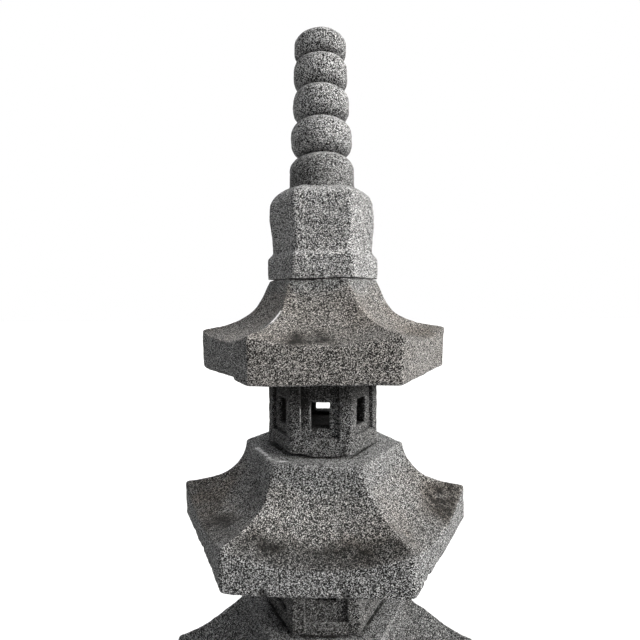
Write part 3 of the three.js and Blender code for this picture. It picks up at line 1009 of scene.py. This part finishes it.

# ---- Each stone's own stains, painted shade and painted highlights ----
CHAMBER_STAINS_AND_SHADE = {
    "chamber_3": {"depth": 0.04},
    "chamber_2": {"depth": 0.1},
    "chamber_1": {
        "depth": 0.06,
        # The spot at (0, -98, 24) lightens the low front: painted light. The one at (-85, -48, 70) darkens
        # the front-left face: painted shade. The rest are darker patches round the front window, on the front
        # and low on the front-right face.
        "spots": [
            ((-14, -92, 46), 5, 0.8), ((-31, -90, 62), 12, 0.45), ((-31, -90, 85), 13, 0.5),
            ((-31, -92, 104), 14, 0.4), ((-48, -96, 80), 12, 0.2), ((0, -98, 24), 34, -0.24),
            ((72, -60, 28), 34, 0.28), ((42, -96, 40), 14, 0.2), ((-85, -48, 70), 46, 0.32),
        ],
        # The first two streaks are painted highlights on the lit left arrises of the sunk panel and the front
        # window's jamb. The third is a painted lighter band low on the front.
        "streaks": [
            ((-38.0, -98.4, 42), (-38.0, -97.6, 103), 1.7, 1.5),
            ((-20.0, -90.3, 50), (-20.0, -90, 106), 1.5, 1.5),
            ((-45, -98, 20), (45, -98, 20), 14, 0.16),
        ],
    },
}
ROOF_STAINS_AND_SHADE = {
    "roof_3": {
        "brown_top": 0.1, "band_brown": 0.05,
        "tones": {FRONT_RIGHT: (0.39, 0.0, 0.1), FRONT_LEFT: (0.06, 0, 0)},
        # A line of painted contact shade, with dirt, along chamber 2's foot.
        "shade_and_grime": foot_lines(127, 3.6, 169, 4, 1.6),
    },
    "roof_2": {
        "brown_top": 0.22, "band_brown": 0.0,
        "tones": {
            FRONT: (-0.02, 0.48, -0.04), FRONT_LEFT: (0.05, 0.24, -0.05), FRONT_RIGHT: (0, 0.1, -0.02),
            BACK_RIGHT: (0, 0.2, 0), BACK: (0.05, 0.3, 0), BACK_LEFT: (0, 0.2, 0),
        },
        "spots": [
            ((240, -36, 61), 52, 0.84, 0.9), ((222, -89, 50), 26, 0.45, 0.6),
            ((4, -210, 54), 30, 0.42, 0.4), ((60, -212, 57), 30, 0.34, 0.4),
            ((108, -210, 70), 38, 0.08, 0.4), ((-60, -216, 56), 30, 0.58, 0.45),
            ((-105, -218, 60), 30, 0.42, 0.3), ((-112, -88, 132), 22, 0.35, 0),
            ((-245, -50, 66), 46, 0, 0.8), ((-200, -110, 60), 44, 0, 0.6),
            ((-142, -244, 68), 34, -0.25, -0.2), ((-180, -150, 54), 38, 0.5, 0.05),
            ((78, -157, 107), 36, 0.12, 0), ((-119, -109, 100), 34, 0.3, 0),
            ((-140, -160, 76), 40, 0.15, 0.1), ((-200, -20, 80), 36, 0.1, 0.5),
            ((144, -186, 66), 9, 0, 0.7), ((150, -100, 90), 60, -0.1, 0.1),
        ],
        "streaks": [
            ((133, -251, 62), (141, -248, 62), 3, 1.3),
            ((136, -70, 107), (138, -69, 103), 1.6, 1.6),
            ((-143, -24, 155), (-84, -123, 158), 6, 1.9),
            ((-90, -114, 158), (-52, -127, 159), 6, 1.7),
            ((-60, -126, 159), (40, -126, 159), 7, 0.45),
        ],
        # The foot lines are painted contact shade with dirt. The line across the plate's left is painted
        # shade.
        "shade_and_grime": [*foot_lines(113.8, -1.6, 159, 3, 1.6), ((-126, 16, 159), (-96, -52, 159), 13, 0.68)],
    },
    "roof_1": {
        "brown_top": 0.5, "band_brown": 0.4, "grey_side": FRONT_LEFT,
        "tones": {
            FRONT: (0.0, 0.06, 0.0), FRONT_LEFT: (0.0, -0.04, 0.02), FRONT_RIGHT: (-0.06, 0.2, -0.3),
            BACK_RIGHT: (0, 0.1, 0), BACK: (0.04, 0.2, 0), BACK_LEFT: (0, 0.1, 0),
        },
        "spots": [
            ((-38, -196, 71), 14, 0.7, 0.1), ((-20, -192, 70), 16, 0.5, 0.1), ((-55, -208, 67), 14, 0.4, 0.1),
            ((-36, -168, 80), 26, 0.7, 0.1), ((-8, -166, 78), 22, 0.6, 0.1), ((5, -190, 70), 16, 0.4, 0.1),
            ((190, -50, 75), 40, 0.1, 0.5), ((0, -106, 150), 40, -0.1, 0),
        ],
        "streaks": [
            ((-76, -125, 120), (-85, -141, 106.5), 2.6, 1.8),
            ((-83, -138, 108.5), (-93, -154, 98), 3.2, 2.0),
            ((-89, -148, 101), (-105, -163, 89), 3.0, 1.7),
            ((150, -190, 35), (225, -60, 35), 30, 0.27),
        ],
    },
}

# Each stone's slot name, then its brightness, contrast, grain in mm and warmth.
FINISHES = {
    "base_stone": ("grey_stone", 0.08, 0.85, 1.3, 0.01),
    "chamber_3": ("dark_stone", 0.066, 1.1, 1.3, -0.01),
    "roof_3": ("grey_stone", 0.077, 0.9, 1.3, -0.01),
    "chamber_2": ("dark_stone", 0.058, 1.1, 1.3, 0.005),
    "roof_2": ("warm_stone", 0.09, 1.15, 1.3, -0.008),
    "chamber_1": ("dark_stone", 0.066, 1.3, 1.3, -0.015),
    "roof_1": ("warm_stone", 0.093, 0.95, 1.25, 0.005),
    "finial": ("pale_stone", 0.143, 1.1, 1.25, -0.005),
}

# ---- Build the stones ----
# turn is in degrees and step, the size of a mesh cell, in mm.
pieces = {}
field, low, high = make_base()
pieces["base_stone"] = carve("base_stone_look", field, low, high, 3.0, 0, 0, 1.0, 400, base_paint)
for name, bed, top, turn in (
    ("chamber_3", PLINTH_TOP + BED_GAP, ROOF_3_BED - BED_GAP, 0.0),
    ("chamber_2", ROOF_3_TOP + BED_GAP, ROOF_2_BED - BED_GAP, -0.5),
    ("chamber_1", ROOF_2_TOP + BED_GAP, ROOF_1_BED - BED_GAP, -2.6),
):
    shape = CHAMBERS[name]
    field, low, high = make_chamber(shape, top - bed)
    paint = chamber_paint(shape["seed"], shape["radius"], top - bed, **CHAMBER_STAINS_AND_SHADE[name])
    pieces[name] = carve(name + "_look", field, low, high, 2.3, bed, turn, 0.8, shape["seed"] * 10, paint)
for name, shape, bed, top, chamber_below, turn, step in (
    ("roof_3", ROOF_3, ROOF_3_BED, ROOF_3_TOP, 136, -1.3, 3.0),
    ("roof_2", ROOF_2, ROOF_2_BED, ROOF_2_TOP, 126.5, -2.9, 2.6),
    ("roof_1", ROOF_1, ROOF_1_BED, ROOF_1_TOP, 113.2, 0.5, 2.4),
):
    field, regions, low, high = make_roof(shape, top - bed, chamber_below)
    paint = roof_paint(regions, shape["seed"], **ROOF_STAINS_AND_SHADE[name])
    pieces[name] = carve(name + "_look", field, low, high, step, bed, turn, 1.0, shape["seed"] * 10, paint)
field, low, high = make_finial()
finial_bed = ROOF_1_TOP + BED_GAP
pieces["finial"] = carve("finial_look", field, low, high, 2.1, finial_bed, 0.3, 0.8, 300, finial_paint)

for node, piece in pieces.items():
    slot, *finish = FINISHES[node]
    piece.data.materials.append(stone_material(slot + "_" + node, *finish))
    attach(piece, node)
    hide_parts(node)


# ---- Floor, light and camera ----
def make_floor(half, bounce, glow):
    """A pale floor that the camera sees a little brighter than it lights the stones."""
    mesh = bpy.data.meshes.new("floor")
    outline = [(-half, -half, 0), (half, -half, 0), (half, half, 0), (-half, half, 0)]
    mesh.from_pydata(outline, [], [(0, 1, 2, 3)])
    floor = bpy.data.objects.new("floor", mesh)
    floor.location.z = -0.0005
    bpy.context.scene.collection.objects.link(floor)
    material = bpy.data.materials.new("floor")
    n = Nodes(material)
    diffuse = n.add("ShaderNodeBsdfDiffuse")
    diffuse.inputs["Color"].default_value = (bounce, bounce, bounce, 1)
    shine = n.add("ShaderNodeEmission")
    seen = n.add("ShaderNodeLightPath").outputs["Is Camera Ray"]
    n.link(n.math("MULTIPLY", seen, glow), shine.inputs["Strength"])
    both = n.add("ShaderNodeAddShader")
    n.link(diffuse.outputs[0], both.inputs[0])
    n.link(shine.outputs[0], both.inputs[1])
    out = n.add("ShaderNodeOutputMaterial")
    n.link(both.outputs[0], out.inputs["Surface"])
    mesh.materials.append(material)


def make_studio(fill_colour, fill_strength):
    """A white backdrop for the camera, and a dim cool fill for everything else."""
    world = bpy.data.worlds.new("studio")
    bpy.context.scene.world = world
    n = Nodes(world)
    fill = n.add("ShaderNodeBackground")
    fill.inputs["Color"].default_value = (*fill_colour, 1)
    fill.inputs["Strength"].default_value = fill_strength
    backdrop = n.add("ShaderNodeBackground")
    backdrop.inputs["Color"].default_value = (1, 1, 1, 1)
    backdrop.inputs["Strength"].default_value = 1.0
    mixed = n.add("ShaderNodeMixShader")
    n.link(n.add("ShaderNodeLightPath").outputs["Is Camera Ray"], mixed.inputs[0])
    n.link(fill.outputs[0], mixed.inputs[1])
    n.link(backdrop.outputs[0], mixed.inputs[2])
    out = n.add("ShaderNodeOutputWorld")
    n.link(mixed.outputs[0], out.inputs["Surface"])


def sun(name, azimuth, elevation, spread, power, colour=(1, 1, 1)):
    """A broad soft light from that azimuth, degrees anticlockwise from +X, and elevation."""
    data = bpy.data.lights.new(name, "SUN")
    data.angle = math.radians(spread)
    data.energy = power
    data.color = colour
    lamp = bpy.data.objects.new(name, data)
    lamp.rotation_euler = (0, math.radians(90 - elevation), math.radians(azimuth))
    bpy.context.scene.collection.objects.link(lamp)


def make_camera(place, lens, tilt, roll):
    """The scene's camera, looking along +Y. tilt is in degrees up from straight down."""
    data = bpy.data.cameras.new("camera")
    data.sensor_width = 36
    data.lens = lens
    data.clip_start = 0.01
    data.clip_end = 200
    camera = bpy.data.objects.new("camera", data)
    camera.matrix_world = (
        Matrix.Translation(place)
        @ Euler((math.radians(tilt), 0, 0)).to_matrix().to_4x4()
        @ Matrix.Rotation(math.radians(roll), 4, "Z")
    )
    bpy.context.scene.collection.objects.link(camera)
    bpy.context.scene.camera = camera


make_floor(half=30, bounce=0.38, glow=0.55)
make_studio(fill_colour=(0.965, 0.985, 1), fill_strength=0.3)
sun("key", azimuth=-16, elevation=28, spread=50, power=8.0, colour=(1, 0.985, 0.955))
sun("top", azimuth=-80, elevation=70, spread=60, power=0.7)
sun("back", azimuth=108, elevation=33, spread=50, power=2.3)
make_camera(place=(-0.0054, -0.888, 1.134), lens=24.06, tilt=88.04, roll=-0.31)
bpy.context.scene.view_settings.view_transform = "Standard"
